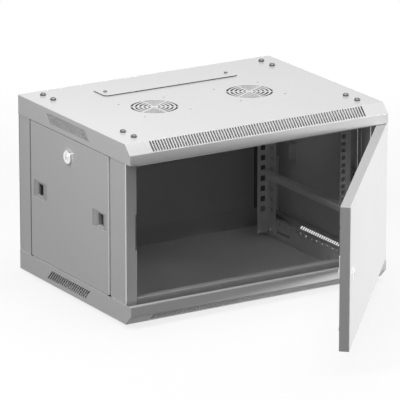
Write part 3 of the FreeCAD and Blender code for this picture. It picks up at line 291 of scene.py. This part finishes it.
FINISHES = {
    "cap_paint": CAP_PAINT,
    "door_paint": DOOR_PAINT,
    "side_panel_paint": PANEL_PAINT,
    "frame_paint": FRAME_PAINT,
    "rail_paint": RAIL_PAINT,
    "black_fasteners": BLACK_ZINC,
    "zinc_plated_steel": BRIGHT_ZINC,
    "lock_chrome": CHROME,
    "latch_plastic": LATCH_PLASTIC,
    "latch_slider_plastic": SLIDER_PLASTIC,
    "spring_steel": SPRING_STEEL,
    "black_rubber": RUBBER,
    "black_nylon": NYLON,
}
NODE_FINISHES = {
    "back_panel": BACK_PAINT,
    "left_front_rail": FRONT_RAIL_SHADED_PAINT,
    "right_front_rail": FRONT_RAIL_SHADED_PAINT,
    "left_rear_post": REAR_POST_PAINT,
    "right_rear_post": REAR_POST_PAINT,
    "left_equipment_runner": RUNNER_LIT_PAINT,
    "right_equipment_runner": RUNNER_LIT_PAINT,
    "cable_cover": COVER_PAINT,
    "lower_front_member": MEMBER_SHADED_PAINT,
}


def dress_nodes():
    """Give each CAD node its own finish, or else that of its material slot in the record."""
    slots = {part["node"]: part["material_slot"] for part in frame["record"]["subparts"]}
    for name, obj in NODES.items():
        obj.data.materials.clear()
        obj.data.materials.append(NODE_FINISHES.get(name, FINISHES[slots[name]]))


def make_latch_springs():
    """The latch springs, copied onto meshes of their own and hung on their panels' bodies."""
    for side in ("left", "right"):
        for end in ("front", "rear"):
            node = f"{side}_{end}_latch_spring"
            mesh = NODES[node].data.copy()
            spring = bpy.data.objects.new(f"{side}_{end}_latch_folded_spring", mesh)
            spring.matrix_world = NODES[node].matrix_world
            bpy.context.scene.collection.objects.link(spring)
            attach(spring, f"{side}_panel")
            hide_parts(node)
            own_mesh(spring)


# ---- Stage
def seen_rays(tree):
    """1 for rays of the camera, and for those that a mirror or glass sends on, and 0 for light."""
    paths = tree.nodes.new("ShaderNodeLightPath")
    mirrored = tree.nodes.new("ShaderNodeMath")
    mirrored.operation = "MAXIMUM"
    seen = tree.nodes.new("ShaderNodeMath")
    seen.operation = "MAXIMUM"
    tree.links.new(paths.outputs["Is Glossy Ray"], mirrored.inputs[0])
    tree.links.new(paths.outputs["Is Transmission Ray"], mirrored.inputs[1])
    tree.links.new(paths.outputs["Is Camera Ray"], seen.inputs[0])
    tree.links.new(mirrored.outputs["Value"], seen.inputs[1])
    return seen.outputs["Value"]


def make_floor():
    """Pale floor: white to the camera, mirrors and glass, with the object's shadow, and grey to light."""
    mesh = bpy.data.meshes.new("floor")
    plane = bmesh.new()
    bmesh.ops.create_grid(plane, x_segments=1, y_segments=1, size=FLOOR_HALF)
    plane.to_mesh(mesh)
    plane.free()
    floor = bpy.data.objects.new("floor", mesh)
    floor.location.z = GROUND
    bpy.context.scene.collection.objects.link(floor)
    material = new_material("floor_white")
    place = material.node_tree.nodes.new("ShaderNodeNewGeometry")
    reach = material.node_tree.nodes.new("ShaderNodeVectorMath")
    reach.operation = "LENGTH"
    link(material, place.outputs["Position"], reach.inputs[0])
    near = material.node_tree.nodes.new("ShaderNodeMapRange")
    near.inputs["From Min"].default_value = SHADOW_REACH
    near.inputs["From Max"].default_value = 2 * SHADOW_REACH
    near.inputs["To Min"].default_value = SHADOW_SHARE
    near.inputs["To Max"].default_value = 0.0
    link(material, reach.outputs["Value"], near.inputs["Value"])
    glow = add_node(material, "ShaderNodeEmission", Color=grey(1.0), Strength=1.0)
    shaded = add_node(material, "ShaderNodeBsdfDiffuse", Color=grey(SHADED_GREY))
    shown = material.node_tree.nodes.new("ShaderNodeMixShader")
    link(material, near.outputs["Result"], shown.inputs["Fac"])
    link(material, glow.outputs["Emission"], shown.inputs[1])
    link(material, shaded.outputs["BSDF"], shown.inputs[2])
    matt = add_node(material, "ShaderNodeBsdfDiffuse", Color=grey(FLOOR_GREY))
    mix = material.node_tree.nodes.new("ShaderNodeMixShader")
    out = material.node_tree.nodes.new("ShaderNodeOutputMaterial")
    link(material, seen_rays(material.node_tree), mix.inputs["Fac"])
    link(material, matt.outputs["BSDF"], mix.inputs[1])
    link(material, shown.outputs["Shader"], mix.inputs[2])
    link(material, mix.outputs["Shader"], out.inputs["Surface"])
    mesh.materials.append(material)


def make_world():
    """White to the camera, mirrors and glass, and an even soft light otherwise."""
    world = bpy.data.worlds.new("studio")
    bpy.context.scene.world = world
    world.use_nodes = True
    nodes, links = world.node_tree.nodes, world.node_tree.links
    nodes.clear()
    soft = nodes.new("ShaderNodeBackground")
    soft.inputs["Strength"].default_value = WORLD_LIGHT
    soft.inputs["Color"].default_value = grey(1.0)
    white = nodes.new("ShaderNodeBackground")
    white.inputs["Color"].default_value = grey(1.0)
    mix = nodes.new("ShaderNodeMixShader")
    out = nodes.new("ShaderNodeOutputWorld")
    links.new(seen_rays(world.node_tree), mix.inputs["Fac"])
    links.new(soft.outputs["Background"], mix.inputs[1])
    links.new(white.outputs["Background"], mix.inputs[2])
    links.new(mix.outputs["Shader"], out.inputs["Surface"])


def softbox(name, place, target, width, height, power):
    """Area light that faces a point. It isn't seen itself."""
    light = bpy.data.lights.new(name, "AREA")
    light.shape = "RECTANGLE"
    light.size = width
    light.size_y = height
    light.energy = power
    lamp = bpy.data.objects.new(name, light)
    lamp.location = place
    lamp.rotation_euler = (Vector(target) - Vector(place)).to_track_quat("-Z", "Y").to_euler()
    lamp.visible_camera = False
    bpy.context.scene.collection.objects.link(lamp)


def make_lights():
    for name, place, width, height, power in LAMPS:
        softbox(name, place, BODY_CENTRE, width, height, power)


def make_camera():
    data = bpy.data.cameras.new("camera")
    data.sensor_width = VIEW_SENSOR
    data.lens = VIEW_LENS
    data.clip_end = VIEW_FAR
    camera = bpy.data.objects.new("camera", data)
    back = Vector((-math.sin(VIEW_AZIMUTH) * math.cos(VIEW_ELEVATION),
                   -math.cos(VIEW_AZIMUTH) * math.cos(VIEW_ELEVATION),
                   math.sin(VIEW_ELEVATION)))
    camera.location = VIEW_PLACE
    camera.rotation_euler = (-back).to_track_quat("-Z", "Y").to_euler()
    bpy.context.scene.collection.objects.link(camera)
    bpy.context.scene.camera = camera


paint_shade_and_highlights()
dress_nodes()
make_latch_springs()
make_floor()
make_world()
make_lights()
make_camera()
bpy.context.scene.view_settings.view_transform = "Standard"
